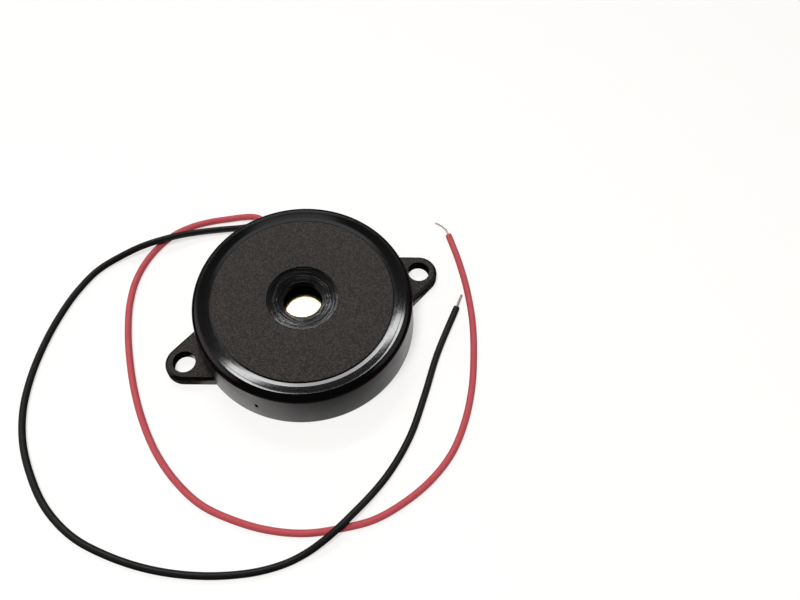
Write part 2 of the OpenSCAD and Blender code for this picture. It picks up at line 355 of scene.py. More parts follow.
# Silicone glue: soft, a little cloudy, with a rubbery shine
SILICONE = uneven_skin("silicone_cured", ("#DDDAD0", "#CFCBBE"), (0.32, 0.45), 0.8, 0.05, IOR=1.41)
SOLDER = uneven_skin("solder_frozen", ("#D6D8DA", "#C3C5C8"), (0.16, 0.3), 1.5, 0.03, Metallic=1.0)
# Tinned strands carry a dull oxide skin, which scatters light as well as mirroring it
TINNED = uneven_skin("copper_tinned", ("#F0EEE9", "#DAD6CE"), (0.3, 0.45), 4.0, 0.01, Metallic=0.6)
print("other finishes:", [m.name for m in (BRASS, SILVER, SILICONE, SOLDER, TINNED)])

# %% [markdown]
# ## Running a geometry tree
#
# What is turned, swept or repeated is made by Geometry Nodes, because the rule stays visible
# as a tree with named inputs. The export needs plain meshes, so one function adds the tree
# to an object, sets its inputs, takes the evaluated mesh and drops the modifier.

# %% Helpers for geometry trees
SOCKETS = {"length": "NodeSocketFloat", "count": "NodeSocketInt", "material": "NodeSocketMaterial"}


def start_tree(name, **inputs):
    """A geometry tree with a geometry input, the named inputs, and its group input and output nodes."""
    tree = bpy.data.node_groups.new(name, "GeometryNodeTree")
    tree.interface.new_socket("Geometry", in_out="INPUT", socket_type="NodeSocketGeometry")
    for label, kind in inputs.items():
        tree.interface.new_socket(label.replace("_", " "), in_out="INPUT", socket_type=SOCKETS[kind])
    tree.interface.new_socket("Geometry", in_out="OUTPUT", socket_type="NodeSocketGeometry")
    return tree, add(tree, "NodeGroupInput").outputs, add(tree, "NodeGroupOutput")


def plain_mesh(piece):
    """Replaces a piece's mesh by its evaluated one and removes its modifiers."""
    graph = bpy.context.evaluated_depsgraph_get()
    mesh = bpy.data.meshes.new_from_object(piece.evaluated_get(graph), depsgraph=graph)
    piece.modifiers.clear()
    piece.data = mesh
    mesh.name = piece.name
    return piece


def line_object(name, points, closed=False):
    """A mesh of one line through points given in millimetres."""
    mesh = bpy.data.meshes.new(name)
    edges = [(i, i + 1) for i in range(len(points) - 1)]
    if closed:
        edges.append((len(points) - 1, 0))
    mesh.from_pydata([Vector(p) * mm for p in points], edges, [])
    piece = bpy.data.objects.new(name, mesh)
    scene.collection.objects.link(piece)
    return piece


def run_tree(piece, tree, **values):
    """Runs a geometry tree on a piece and keeps the result as a plain mesh."""
    modifier = piece.modifiers.new(tree.name, "NODES")
    modifier.node_group = tree
    sockets = {s.name: s.identifier for s in tree.interface.items_tree if s.in_out == "INPUT"}
    for label, value in values.items():
        modifier[sockets[label.replace("_", " ")]] = value
    return plain_mesh(piece)


def tidy_mesh(piece, sharp_degrees=30):
    """Merges doubles, points the faces outwards and keeps only real edges sharp."""
    mesh = piece.data
    work = bmesh.new()
    work.from_mesh(mesh)
    bmesh.ops.remove_doubles(work, verts=work.verts, dist=0.0005 * mm)
    bmesh.ops.dissolve_degenerate(work, edges=work.edges, dist=0.0002 * mm)
    bmesh.ops.recalc_face_normals(work, faces=work.faces)
    if work.calc_volume(signed=True) < 0:
        bmesh.ops.reverse_faces(work, faces=work.faces)
    open_edges = sum(not edge.is_manifold for edge in work.edges)
    volume = work.calc_volume() / mm ** 3
    work.to_mesh(mesh)
    work.free()
    mesh.shade_smooth()
    mesh.set_sharp_from_angle(angle=math.radians(sharp_degrees))
    print(f"{piece.name}: {len(mesh.polygons)} faces, {volume:.2f} mm3, {open_edges} open edges")
    return piece


# %% [markdown]
# ## The routes of the leads
#
# Each lead is a fixed length of soft wire. It starts at its solder joint, goes out through
# the notch, and then lies on the table in the bends that it was left with. The points repeat
# the ones that the CAD part sweeps its plain tubes along. A curve through them that is
# straight in no place looks like wire, while a polyline would look like folded rod.

# %% Lead routes in millimetres
lead_d = 1.3
strand_d = 0.16
lay_pitch = 3.2
strip_red = 2.2
strip_black = 2.0
lie = lead_d / 2
hump = lead_d * 1.5 + 0.05

red_route = [
    (1.5, 13, 4.2), (1.1, 15.2, 3.3), (0.6, 18.2, 2), (0.5, 20, 1.6), (0.4, 21.8, 1.5),
    (0.4, 23.5, 1.4), (0.2, 24.7, 1.2), (-0.4, 25.7, 1.1), (-1.3, 26.4, 1), (-3, 27.2, 0.8),
    (-6, 28.1, lie), (-10, 29, lie), (-14, 29.3, lie), (-17.5, 28.8, lie), (-20.5, 27.6, lie),
    (-24, 25.3, lie), (-27.5, 21.6, lie), (-30, 17.2, lie), (-32, 11.6, lie), (-33.5, 5.3, lie),
    (-34.5, -1.4, lie), (-34.8, -7.8, lie), (-34.3, -14.5, lie), (-32.7, -20.8, lie),
    (-30, -26.5, lie), (-26, -31.1, lie), (-21, -35.3, lie), (-15, -38.6, lie),
    (-9.5, -40.2, lie), (-3.5, -41.2, lie), (2.5, -40.6, lie), (8.5, -38.9, lie),
    (14, -36, lie), (19, -31.4, lie), (23, -26.2, lie), (26.5, -20.1, lie), (29.5, -13.6, lie),
    (31.7, -6.8, lie), (33.2, 0.2, lie), (34, 6.3, lie),
]
black_route = [
    (-1.8, 16.5, 4.3), (-1, 18, 3.3), (-0.6, 19.2, 2.8), (-0.5, 20.4, 2.6),
    (-0.7, 21.6, 2.5), (-1.3, 22.6, 2.3), (-2.3, 23.4, 2.1), (-4.5, 24.4, 1.6),
    (-9, 26.2, 1.1), (-13.5, 27.3, 1.3), (-17, 27.6, 1.9), (-20.5, 27.9, hump),
    (-24, 28.1, 1.8), (-28.5, 28, 1.1), (-33, 27.2, lie), (-38.5, 24, lie), (-43.5, 19.5, lie),
    (-48, 14.2, lie), (-51.5, 8.9, lie), (-54, 3.6, lie), (-55.5, -2.5, lie), (-55.7, -9, lie),
    (-54.7, -16, lie), (-51.8, -22.7, lie), (-47, -28.5, lie), (-41.5, -33.3, lie),
    (-35.5, -37.1, lie), (-29.5, -39.8, lie), (-24, -41.4, lie), (-19.5, -41.9, lie),
    (-16, -41.7, 0.9), (-12.5, -41.1, 1.7), (-9.5, -40.2, hump), (-6.5, -39, 1.8),
    (-2.5, -37.2, 1.1), (2, -34.8, lie), (8.5, -30, lie), (14, -24.2, lie), (20, -17.3, lie),
    (28.1, -9.5, lie),
]


def smooth_line(route, steps=8, floor=0.0):
    """A smooth line through the route's points that never dips below the floor height."""
    points = [Vector(p) for p in route]
    gaps = [(b - a).length for a, b in zip(points, points[1:])]
    speeds = [(points[1] - points[0]) / gaps[0]]
    for i in range(1, len(points) - 1):
        before = (points[i] - points[i - 1]) / gaps[i - 1]
        after = (points[i + 1] - points[i]) / gaps[i]
        speeds.append((before * gaps[i] + after * gaps[i - 1]) / (gaps[i] + gaps[i - 1]))
    speeds.append((points[-1] - points[-2]) / gaps[-1])
    line = []
    for i, gap in enumerate(gaps):
        for step in range(steps):
            t = step / steps
            line.append((2 * t**3 - 3 * t**2 + 1) * points[i] + (t**3 - 2 * t**2 + t) * gap * speeds[i]
                        + (3 * t**2 - 2 * t**3) * points[i + 1] + (t**3 - t**2) * gap * speeds[i + 1])
    line.append(points[-1])
    return [Vector((p.x, p.y, max(p.z, floor))) for p in line]


def line_length(line):
    return sum((b - a).length for a, b in zip(line, line[1:]))


red_line = smooth_line(red_route, floor=lie)
black_line = smooth_line(black_route, floor=lie)
print(f"red lead {line_length(red_line):.1f} mm, black lead {line_length(black_line):.1f} mm")

# %% [markdown]
# ## The insulation
#
# The tube is a circle swept along the line. The tree stores, before the sweep, how far along
# each point of the line is and which way each point of the circle faces, and both travel on
# to the mesh. The radius shrinks a little at both ends, where the stripping tool squeezed
# the soft PVC before it cut.

# %% Tube tree and the two leads
def tube_tree():
    tree, given, result = start_tree("drawn_tube", Diameter="length", Sides="count", Material="material")
    line = add(tree, "GeometryNodeMeshToCurve", Mesh=given["Geometry"]).outputs[0]
    place = add(tree, "GeometryNodeSplineParameter")
    millimetre = math_node(tree, "DIVIDE", place.outputs["Length"], mm)
    line = add(tree, "GeometryNodeStoreNamedAttribute", {"data_type": "FLOAT", "domain": "POINT"},
               Geometry=line, Name="along_mm", Value=millimetre).outputs[0]
    # Distance to the nearer end, as a share of half a millimetre
    whole = add(tree, "GeometryNodeSplineLength").outputs["Length"]
    to_end = math_node(tree, "MINIMUM", place.outputs["Length"],
                       math_node(tree, "SUBTRACT", whole, place.outputs["Length"]))
    squeeze = add(tree, "ShaderNodeMapRange", {"interpolation_type": "SMOOTHSTEP"}, Value=to_end,
                  From_Min=0.0, From_Max=0.5 * mm, To_Min=0.93, To_Max=1.0).outputs[0]
    circle = add(tree, "GeometryNodeCurvePrimitiveCircle", Resolution=given["Sides"],
                 Radius=math_node(tree, "MULTIPLY", given["Diameter"], 0.5)).outputs[0]
    facing = add(tree, "ShaderNodeVectorMath", {"operation": "NORMALIZE"},
                 _0=add(tree, "GeometryNodeInputPosition").outputs[0]).outputs[0]
    circle = add(tree, "GeometryNodeStoreNamedAttribute", {"data_type": "FLOAT_VECTOR", "domain": "POINT"},
                 Geometry=circle, Name="around", Value=facing).outputs[0]
    tube = add(tree, "GeometryNodeCurveToMesh", Curve=line, Profile_Curve=circle, Scale=squeeze,
               Fill_Caps=True)
    whole_mesh = add(tree, "GeometryNodeRealizeInstances", Geometry=tube.outputs[0]).outputs[0]
    painted = add(tree, "GeometryNodeSetMaterial", Geometry=whole_mesh, Material=given["Material"])
    tree.links.new(painted.outputs[0], result.inputs[0])
    return tree


TUBE = tube_tree()


def make_lead(name, line, material):
    """A lead's insulation, swept along its line."""
    start, end = line[0], line[-1]
    # Extra points close to both ends give the squeeze room to show
    near_start = [start.lerp(line[1], t) for t in (0.0, 0.25, 0.6)]
    near_end = [end.lerp(line[-2], t) for t in (0.6, 0.25, 0.0)]
    piece = line_object(name, near_start + line[1:-1] + near_end)
    run_tree(piece, TUBE, Diameter=lead_d * mm, Sides=24, Material=material)
    return tidy_mesh(piece, 50)


red_lead = make_lead("lead_red_insulation", red_line, RED_PVC)
black_lead = make_lead("lead_black_insulation", black_line, BLACK_PVC)

# %% [markdown]
# ## The bare ends
#
# Under the insulation are thin copper strands, tinned and laid round each other like rope.
# One tree makes them: it sets small circles round a larger one, sweeps the whole set along
# the line, and turns it steadily with the line's tilt. The black lead shows its full bundle.
# On the red one only three strands were left by the stripping tool, and they are bent up.

# %% Strand tree and the conductors
def strand_tree():
    tree, given, result = start_tree("laid_strands", Strands="count", Strand_Diameter="length",
                                     Lay_Radius="length", Pitch="length", Core_Scale="length",
                                     Material="material")
    line = add(tree, "GeometryNodeMeshToCurve", Mesh=given["Geometry"]).outputs[0]
    travelled = add(tree, "GeometryNodeSplineParameter").outputs["Length"]
    turns = math_node(tree, "DIVIDE", travelled, given["Pitch"])
    line = add(tree, "GeometryNodeSetCurveTilt", Curve=line,
               Tilt=math_node(tree, "MULTIPLY", turns, math.tau)).outputs[0]
    strand = add(tree, "GeometryNodeCurvePrimitiveCircle", Resolution=10,
                 Radius=math_node(tree, "MULTIPLY", given["Strand Diameter"], 0.5)).outputs[0]
    lay = add(tree, "GeometryNodeCurvePrimitiveCircle", Resolution=given["Strands"],
              Radius=given["Lay Radius"]).outputs[0]
    spots = add(tree, "GeometryNodeCurveToPoints", {"mode": "EVALUATED"}, Curve=lay).outputs[0]
    round_it = add(tree, "GeometryNodeInstanceOnPoints", Points=spots, Instance=strand).outputs[0]
    core = add(tree, "GeometryNodeTransform", Geometry=strand, Scale=given["Core Scale"]).outputs[0]
    bundle = add(tree, "GeometryNodeJoinGeometry")
    for part in (add(tree, "GeometryNodeRealizeInstances", Geometry=round_it).outputs[0], core):
        tree.links.new(part, bundle.inputs[0])
    swept = add(tree, "GeometryNodeCurveToMesh", Curve=line, Profile_Curve=bundle.outputs[0],
                Fill_Caps=True)
    whole_mesh = add(tree, "GeometryNodeRealizeInstances", Geometry=swept.outputs[0]).outputs[0]
    painted = add(tree, "GeometryNodeSetMaterial", Geometry=whole_mesh, Material=given["Material"])
    tree.links.new(painted.outputs[0], result.inputs[0])
    return tree


STRANDS = strand_tree()


def make_conductor(name, route, strands, lay_r, core_scale):
    """A bundle of tinned strands along a route in millimetres."""
    piece = line_object(name, smooth_line(route, steps=12))
    run_tree(piece, STRANDS, Strands=strands, Strand_Diameter=strand_d * mm, Lay_Radius=lay_r * mm,
             Pitch=lay_pitch * mm, Core_Scale=core_scale, Material=TINNED)
    return tidy_mesh(piece, 50)


def end_route(line, bend):
    """The bare end: from just inside the insulation, straight on, and then along its bend."""
    tip = line[-1]
    ahead = (line[-1] - line[-2]).normalized()
    return [tip - 0.4 * ahead, tip + 0.5 * ahead] + [tip + Vector(offset) for offset in bend]


def inner_route(line, bare):
    """The bare stretch inside the case, from the solder joint to the insulation."""
    start = line[0]
    back = (line[0] - line[1]).normalized()
    return [start + bare * back, start + bare / 2 * back, start - 0.4 * back]


# Seven strands fill the bundle of 0.5 mm: six of them round one
full_bundle = {"strands": 6, "lay_r": 0.168, "core_scale": 1.0}
sparse_bundle = {"strands": 3, "lay_r": 0.09, "core_scale": 0.3}
red_bend = [(0.1, 1.2, -0.05), (-0.3, 2.7, -0.2), (-1.1, 4, -0.3)]
black_bend = [(1.1, 1.15, -0.1), (2.2, 2.2, -0.3)]
red_end = make_conductor("conductor_red_strands", end_route(red_line, red_bend), **sparse_bundle)
black_end = make_conductor("conductor_black_strands", end_route(black_line, black_bend), **full_bundle)
red_inner = make_conductor("conductor_red_bare", inner_route(red_line, strip_red), **full_bundle)
black_inner = make_conductor("conductor_black_bare", inner_route(black_line, strip_black),
                             **full_bundle)

# %% [markdown]
# ## Turned outlines
#
# Case and cover are round, so each is an outline in radius and height, turned about Z. An
# outline is written as its corners, each with the radius of its round, as on a drawing. The
# case's outline is where the look is decided. The polished ring falls inwards from the rim in
# a steep slope and a gentle one, with a fine notch in the steep one, down to a groove round
# the matt face. The gentle slope mirrors the skylight and the steep one mirrors what is
# below it, so the ring shows a bright arc beside a dark one.

# %% Rounded outlines
def rounded(corners, steps=5, closed=True):
    """Points of an outline whose corners (r, z, radius) are rounded by arcs."""
    points = []
    count = len(corners)
    for i, (r, z, radius) in enumerate(corners):
        here = Vector((r, z))
        if radius == 0 or (not closed and i in (0, count - 1)):
            points.append(here)
            continue
        to_last = Vector(corners[i - 1][:2]) - here
        to_next = Vector(corners[(i + 1) % count][:2]) - here
        half = to_last.angle(to_next) / 2
        reach = min(radius / math.tan(half), 0.49 * to_last.length, 0.49 * to_next.length)
        radius = reach * math.tan(half)
        middle = here + (to_last.normalized() + to_next.normalized()).normalized() * radius / math.sin(half)
        start = here + to_last.normalized() * reach - middle
        stop = here + to_next.normalized() * reach - middle
        for step in range(steps + 1):
            points.append(middle + start.lerp(stop, step / steps).normalized() * radius)
    return [(p.x, p.y, 0) for p in points]


# The outer round is tangent to the drafted wall and meets the rim at 20 degrees
corner_r = 1.9
rim_turn = math.radians(90 - 20)
corner_z = case_h - corner_r * math.sin(rim_turn)
corner_x = (case_r - (corner_z + corner_r * math.sin(draft)) * math.tan(draft)
            - corner_r * math.cos(draft))
round_turns = [draft + (rim_turn - draft) * i / 14 for i in range(14)]
rim_r = corner_x + corner_r * math.cos(rim_turn)

# The inside: boss under the sound hole, roof of the chamber, seat and lip, inside of the wall
boss_r, boss_z = 7.6, 7.5
roof_z = 8.0
seat_r = 16.3
lip_r, lip_out_r, lip_h = 17.65, 18.3, 0.7
inner_r = 19.295

case_corners = [(bore_r, 0, 0.12), (case_r, 0, 0.22)]
case_corners += [(corner_x + corner_r * math.cos(t), corner_z + corner_r * math.sin(t), 0)
                 for t in round_turns]
case_corners += [
    # the rim and the polished ring, which falls in two slopes to the groove
    (rim_r, case_h, 0.04), (18.8, case_h - 0.098, 0.02), (18.72, case_h - 0.124, 0.02),
    (17.85, case_h - 0.275, 0.25), (face_r + 0.04, groove_z - 0.02, 0.03),
    # the matt face and the dish round the hole
    (flat_r, face_z, 0.12), (dish_r, face_z, 0.08), (dish_r, face_z - 0.3, 0.05),
    (hole_r, face_z - 0.75, 0.2), (hole_r, boss_z, 0.12),
    # boss, chamber, seat and lip for the plate
    (boss_r, boss_z, 0.1), (boss_r, roof_z, 0.1), (seat_r, roof_z, 0.1), (seat_r, plate_z, 0),
    (lip_r, plate_z, 0), (lip_r, plate_z - lip_h, 0), (lip_out_r, plate_z - lip_h, 0),
    (lip_out_r, roof_z, 0.1), (inner_r, roof_z, 0.1), (inner_r, shoulder_z, 0),
    (bore_r, shoulder_z, 0),
]
# The cover: a flat back with a curved bevel, and a skirt that stands on the case's shoulder
bevel_r, bevel_w, bevel_h = 18.2, 1.5, 0.65
floor_t = 1.3
skirt_t = 1.5
cover_bevel = [(bevel_r + bevel_w * t, bevel_h * t**2, 0) for t in [i / 8 for i in range(9)]]
cover_corners = [(0, 0, 0)] + cover_bevel + [
    (cover_r, bevel_h, 0.03), (cover_r, shoulder_z, 0.05), (cover_r - skirt_t, shoulder_z, 0.05),
    (cover_r - skirt_t, floor_t, 0.1), (0, floor_t, 0),
]
case_outline = rounded(case_corners)
cover_outline = rounded(cover_corners, closed=False)
print(f"case outline {len(case_outline)} points, cover outline {len(cover_outline)} points")

# %% [markdown]
# ## The turning tree
#
# The tree sweeps the outline round a circle. The circle has a radius of one millimetre, and
# the outline is moved in by as much, so it comes out at its true radius. Points on the axis
# are merged, which closes the poles. Then the tree paints the zones by rule: satin all over,
# polish between two heights, swirls inside the dish, and the spark-eroded grain on the flat
# face between the dish and the ring.

# %% Turning tree
def turning_tree():
    tree, given, result = start_tree("turned", Segments="count", Polish_From="length", Polish_To="length",
                                     Dish_Radius="length", Face_Height="length", Face_Radius="length",
                                     Satin="material", Polish="material", Swirl="material", Grain="material")
    # The sweep turns an outline's +Y into -Z, so it is mirrored first
    outline = add(tree, "GeometryNodeTransform", Geometry=given["Geometry"], Translation=(-mm, 0, 0),
                  Scale=(1, -1, 1)).outputs[0]
    profile = add(tree, "GeometryNodeMeshToCurve", Mesh=outline).outputs[0]
    circle = add(tree, "GeometryNodeCurvePrimitiveCircle", Resolution=given["Segments"],
                 Radius=mm).outputs[0]
    turned = add(tree, "GeometryNodeCurveToMesh", Curve=circle, Profile_Curve=profile).outputs[0]
    closed = add(tree, "GeometryNodeMergeByDistance", Geometry=turned, Distance=0.0002 * mm).outputs[0]

    place = add(tree, "ShaderNodeSeparateXYZ", Vector=add(tree, "GeometryNodeInputPosition").outputs[0])
    height = place.outputs["Z"]
    flat = add(tree, "ShaderNodeCombineXYZ", X=place.outputs["X"], Y=place.outputs["Y"]).outputs[0]
    radius = add(tree, "ShaderNodeVectorMath", {"operation": "LENGTH"}, _0=flat).outputs["Value"]
    tiny = 0.02 * mm

    def both(first, second):
        return add(tree, "FunctionNodeBooleanMath", {"operation": "AND"}, _0=first, _1=second).outputs[0]

    def above(value, limit):
        return math_node(tree, "GREATER_THAN", value, limit)

    polished = both(above(height, given["Polish From"]), above(given["Polish To"], height))
    dished = both(polished, above(given["Dish Radius"], radius))
    level = math_node(tree, "COMPARE", height, given["Face Height"], tiny)
    grained = both(both(level, above(given["Face Radius"], radius)), above(radius, given["Dish Radius"]))
    painted = closed
    for rule, label in ((None, "Satin"), (polished, "Polish"), (dished, "Swirl"), (grained, "Grain")):
        painter = add(tree, "GeometryNodeSetMaterial", Geometry=painted, Material=given[label])
        if rule is not None:
            tree.links.new(rule, painter.inputs["Selection"])
        painted = painter.outputs[0]
    whole_mesh = add(tree, "GeometryNodeRealizeInstances", Geometry=painted).outputs[0]
    tree.links.new(whole_mesh, result.inputs[0])
    return tree


TURNED = turning_tree()
# The polish of the case starts just above the foot of the outer round
polish_z = 8.0
finishes = {"Segments": 288, "Satin": SATIN, "Polish": POLISH, "Swirl": SWIRL, "Grain": SPARK}
case = line_object("case_shell", case_outline, closed=True)
run_tree(case, TURNED, Polish_From=polish_z * mm, Polish_To=(case_h + 1) * mm,
         Dish_Radius=dish_r * mm, Face_Height=face_z * mm, Face_Radius=(flat_r - 0.02) * mm, **finishes)
tidy_mesh(case)
cover = line_object("cover_shell", cover_outline)
run_tree(cover, TURNED, Polish_From=0.004 * mm, Polish_To=(bevel_h + 0.01) * mm, Dish_Radius=0.0,
         Face_Height=0.0, Face_Radius=bevel_r * mm, **finishes)
tidy_mesh(cover)
print(f"case is {case.dimensions.x / mm:.2f} mm wide and {case.dimensions.z / mm:.2f} mm high")

# %% [markdown]
# ## Ears and cuts
#
# The two ears are flat tabs with a soft, polished upper edge. An ear is a stack of the same
# outline, each layer a little smaller as the edge rounds off. A tree turns one ear, or one
# tool that cuts, into a ring of equal copies. The exact Boolean then joins the ears to the
# case and takes the screw holes, the notch for the leads and the mark of the gate out of it.

# %% Stacked outlines and Booleans
def stack(name, layers, material, edge_material=None):
    """A closed solid through layers of points in millimetres; rounded edges may get their own material."""
    mesh = bpy.data.meshes.new(name)
    count = len(layers[0])
    faces = [list(range(count))[::-1], [len(layers) * count - count + i for i in range(count)]]
    for layer in range(len(layers) - 1):
        for i in range(count):
            j = (i + 1) % count
            low, high = layer * count, (layer + 1) * count
            faces.append((low + i, low + j, high + j, high + i))
    mesh.from_pydata([Vector(p) * mm for points in layers for p in points], [], faces)
    mesh.materials.append(material)
    piece = bpy.data.objects.new(name, mesh)
    scene.collection.objects.link(piece)
    tidy_mesh(piece)
    if edge_material:
        mesh.materials.append(edge_material)
        for face in mesh.polygons:
            face.material_index = int(0.15 < abs(face.normal.z) < 0.99)
    return piece


def copies_tree():
    tree, given, result = start_tree("copies_round_z", Copies="count")
    spots = add(tree, "GeometryNodeMeshLine", Count=given["Copies"], Offset=(0, 0, 0)).outputs[0]
    share = math_node(tree, "DIVIDE", add(tree, "GeometryNodeInputIndex").outputs[0], given["Copies"])
    turn = add(tree, "ShaderNodeCombineXYZ", Z=math_node(tree, "MULTIPLY", share, math.tau)).outputs[0]
    copies = add(tree, "GeometryNodeInstanceOnPoints", Points=spots, Instance=given["Geometry"],
                 Rotation=turn)
    whole_mesh = add(tree, "GeometryNodeRealizeInstances", Geometry=copies.outputs[0]).outputs[0]
    tree.links.new(whole_mesh, result.inputs[0])
    return tree


COPIES = copies_tree()


def combine(piece, tool, operation):
    """Joins a tool to a piece, or cuts it out of the piece, and removes the tool."""
    modifier = piece.modifiers.new(operation.lower(), "BOOLEAN")
    modifier.object = tool
    modifier.operation = operation
    modifier.solver = "EXACT"
    modifier.material_mode = "TRANSFER"
    plain_mesh(piece)
    bpy.data.objects.remove(tool)
    return piece


# %% Ears
ear_tip_r = 3.6
ear_x = ear_end - ear_tip_r
ear_t = 2.4
ear_hole_r = 2.1
ear_low_round = 0.15
ear_top_round = 0.75
hole_round = 0.06
ear_lean = math.radians(24.5)


def ear_outline(inset, z):
    """The ear's outline, moved in by inset: a round tip and two straight sides into the wall."""
    radius = ear_tip_r - inset
    turn = math.pi / 2 - ear_lean
    root_x = bore_r - 0.6
    root_y = radius * math.sin(turn) + (ear_x + radius * math.cos(turn) - root_x) * math.tan(ear_lean)
    arc = [turn * (i / 12 - 1) for i in range(25)]
    points = [(ear_x + radius * math.cos(a), radius * math.sin(a), z) for a in arc]
    return points + [(root_x, root_y, z), (root_x, -root_y, z)]


def edge_round(z, radius, direction, steps=6):
    """Inset and height along a quarter round that ends level at z; direction is +1 at a top."""
    turns = [math.pi / 2 * i / steps for i in range(steps + 1)]
    pairs = [(radius * (1 - math.cos(t)), z - direction * radius * (1 - math.sin(t))) for t in turns]
    return pairs if direction > 0 else pairs[::-1]


ear_levels = edge_round(0, ear_low_round, -1) + edge_round(ear_t, ear_top_round, 1)
ears = stack("ears", [ear_outline(inset, z) for inset, z in ear_levels], SPARK, POLISH)
run_tree(ears, COPIES, Copies=2)
combine(case, ears, "UNION")


def circle(radius, z, x=0.0, count=48):
    return [(x + radius * math.cos(math.tau * i / count), radius * math.sin(math.tau * i / count), z)
            for i in range(count)]


# The screw holes flare at the top, as the ear's edge does
hole_flare = edge_round(ear_t, hole_round, 1)
screw_holes = stack("screw_holes", [circle(ear_hole_r, -1, ear_x)]
                    + [circle(ear_hole_r + inset, z, ear_x) for inset, z in hole_flare]
                    + [circle(ear_hole_r + hole_round, ear_t + 1, ear_x)], POLISH)
run_tree(screw_holes, COPIES, Copies=2)
combine(case, screw_holes, "DIFFERENCE")

# %% Notch for the leads and gate mark
notch_w = 3.0
notch_h = 4.0
notch_y = 18.4


def notch_outline(y):
    """An arch: straight sides below z = 0 and a round top."""
    radius = notch_w / 2
    turns = [math.pi * i / 16 for i in range(17)]
    arch = [(radius * math.cos(t), y, notch_h - radius + radius * math.sin(t)) for t in turns]
    return [(radius, y, -1)] + arch + [(-radius, y, -1)]


combine(case, stack("notch", [notch_outline(notch_y), notch_outline(case_r + 1)], SATIN), "DIFFERENCE")

# The gate mark is a blind oval pit, 0.7 mm deep, in the near side of the wall
gate_z = 4.0
gate_bearing = math.radians(224)
gate = stack("gate_mark", [circle(0.3, -0.7), circle(0.36, -0.6), circle(0.36, 1.0)], POLISH)
upright_oval = Matrix.Diagonal((1.8, 1, 1, 1))
gate_spot = Vector((case_r - gate_z * math.tan(draft), 0, gate_z)) * mm
gate.data.transform(Matrix.Rotation(gate_bearing, 4, "Z") @ Matrix.Translation(gate_spot)
                    @ Matrix.Rotation(math.pi / 2, 4, "Y") @ upright_oval)
combine(case, gate, "DIFFERENCE")
tidy_mesh(case)

# %% [markdown]
# ## Cuts in the cover
#
# The back of the cover has a shallow square recess with soft corners, set a little askew,
# where a label would go. A slot in its skirt leaves room for the leads.

# %% Recess and slot
def soft_square(side, corner, z):
    """A square with round corners, at height z."""
    inset = side / 2 - corner
    points = []
    for quarter in range(4):
        middle = Matrix.Rotation(quarter * math.pi / 2, 2) @ Vector((inset, inset))
        for step in range(7):
            turn = quarter * math.pi / 2 + math.pi / 2 * step / 6
            points.append((middle.x + corner * math.cos(turn), middle.y + corner * math.sin(turn), z))
    return points


recess_side = 11.7
recess_corner = 0.85
recess_turn = math.radians(20)
recess_middle = Vector((-2.3, 5.8, 0)) * mm
recess_levels = [(0, -1), (0, 0), (0.05, 0.06), (0.1, 0.3)]
recess = stack("recess", [soft_square(recess_side - 2 * inset, recess_corner - inset, z)
                          for inset, z in recess_levels], SPARK)
recess.data.transform(Matrix.Translation(recess_middle) @ Matrix.Rotation(recess_turn, 4, "Z"))
combine(cover, recess, "DIFFERENCE")


slot_z = 0.9
slot_gap = 0.2
slot_in = 2.0


def slot_outline(z):
    """A rectangle across the skirt, wider than the notch by a gap on each side."""
    half, inner, outer = notch_w / 2 + slot_gap, cover_r - slot_in, cover_r + 1
    return [(-half, inner, z), (half, inner, z), (half, outer, z), (-half, outer, z)]


combine(cover, stack("slot", [slot_outline(slot_z), slot_outline(shoulder_z + 1)], SATIN), "DIFFERENCE")
tidy_mesh(cover)

# %% [markdown]
# ## Pieces on the frame
#
# Every new piece rides on the one body of this part and stands for its CAD node. The brass
# plate, the ceramic, the glue and the solder joints keep their CAD meshes and only get their
# finish.

# %% Attach everything to the frame
def attach(piece, node):
    """A piece rides on the body and stands for a CAD node, which is hidden."""
    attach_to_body(piece, "root")
    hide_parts(node)


attach(case, "front_case")
attach(cover, "rear_cover")
attach(red_lead, "lead_red")
attach(black_lead, "lead_black")
attach(red_end, "conductor_red_end")
attach(black_end, "conductor_black_end")
attach(red_inner, "conductor_red_inner")
attach(black_inner, "conductor_black_inner")

for node, material in (("brass_plate", BRASS), ("ceramic_disc", SILVER), ("plate_adhesive", SILICONE),
                       ("solder_red", SOLDER), ("solder_black", SOLDER)):
    mesh = cad_nodes[node].data
    mesh.materials.clear()
    mesh.materials.append(material)
print("CAD nodes that stay:", [n for n, o in cad_nodes.items() if not o.hide_render])
